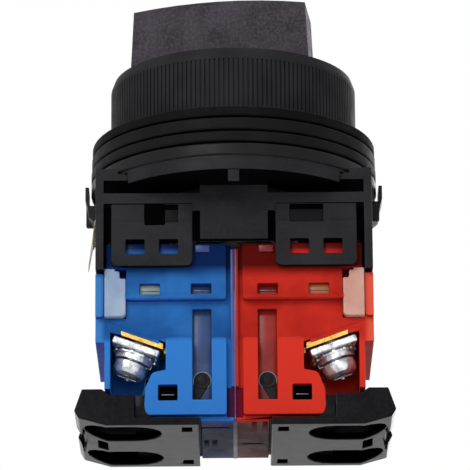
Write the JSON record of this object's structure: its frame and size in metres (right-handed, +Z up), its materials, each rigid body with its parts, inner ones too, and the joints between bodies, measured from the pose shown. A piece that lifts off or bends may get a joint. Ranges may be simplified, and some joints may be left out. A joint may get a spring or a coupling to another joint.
{
  "type": "selector switch",
  "caption": "Panel selector switch: lever handle on a knurled ring nut, adapter with lock lever, and two contact blocks with screw terminals under finger-guard covers.",
  "frame": {"origin": "on the operator's axis, at the level of the flat undersides of the terminal covers", "axes": "+Z up along the operator's axis towards the handle; +X towards the red contact block; -Y towards the front that the picture shows"},
  "size_m": [0.0506, 0.0464, 0.074],
  "materials": {
    "handle": "satin, dark grey",
    "black_gloss": "glossy black",
    "black": "satin black",
    "rubber": "matt black",
    "blue": "translucent blue",
    "red": "translucent red",
    "milky": "milky translucent",
    "white": "plain white",
    "zinc": "zinc plated",
    "brass": "bright",
    "silver": "bright",
    "label": "paper"
  },
  "bodies": {
    "housing": {"operator_body": "black", "bezel_ring": "black_gloss", "panel_gasket": "rubber", "spacer_upper": "black", "spacer_lower": "black", "adapter_body": "black", "side_label": "label", "blue_housing": "blue", "blue_cover": "black_gloss", "blue_return_spring": "zinc", "blue_terminal_front": "brass", "blue_screw_front": "zinc", "blue_square_washer_front": "zinc", "blue_spring_washer_front": "zinc", "blue_clip_front": "milky", "blue_terminal_rear": "brass", "blue_screw_rear": "zinc", "blue_square_washer_rear": "zinc", "blue_spring_washer_rear": "zinc", "blue_clip_rear": "milky", "red_housing": "red", "red_cover": "black_gloss", "red_return_spring": "zinc", "red_terminal_front": "brass", "red_screw_front": "zinc", "red_square_washer_front": "zinc", "red_spring_washer_front": "zinc", "red_clip_front": "milky", "red_terminal_rear": "brass", "red_screw_rear": "zinc", "red_square_washer_rear": "zinc", "red_spring_washer_rear": "zinc", "red_clip_rear": "milky"},
    "handle": {"handle": "handle", "selector_shaft": "zinc", "selector_cam": "white"},
    "blue_plunger": {"blue_plunger": "white", "blue_carrier": "black", "blue_bridge": "silver"},
    "red_plunger": {"red_plunger": "white", "red_carrier": "black", "red_bridge": "silver"},
    "lock_lever": {"lock_lever": "black"}
  },
  "joints": [
    {"name": "handle_turn", "type": "hinge", "parent": "housing", "child": "handle", "pos_m": [0, 0, 0.04965], "axis": [0, 0, 1], "range_deg": [0, 90]},
    {"name": "blue_plunger_slide", "type": "slide", "parent": "housing", "child": "blue_plunger", "axis": [0, 0, -1], "range_m": [0, 0.002], "deforming": ["blue_return_spring"]},
    {"name": "red_plunger_slide", "type": "slide", "parent": "housing", "child": "red_plunger", "axis": [0, 0, -1], "range_m": [0, 0.002], "deforming": ["red_return_spring"]},
    {"name": "lock_lever_turn", "type": "hinge", "parent": "housing", "child": "lock_lever", "pos_m": [0, 0, 0.0382], "axis": [0, 0, 1], "range_deg": [0, 14]}
  ],
  "couplings": [
    {"joint": "blue_plunger_slide", "follows": "handle_turn", "m_per_rad": 0.001273},
    {"joint": "red_plunger_slide", "follows": "handle_turn", "m_per_rad": 0.001273}
  ]
}
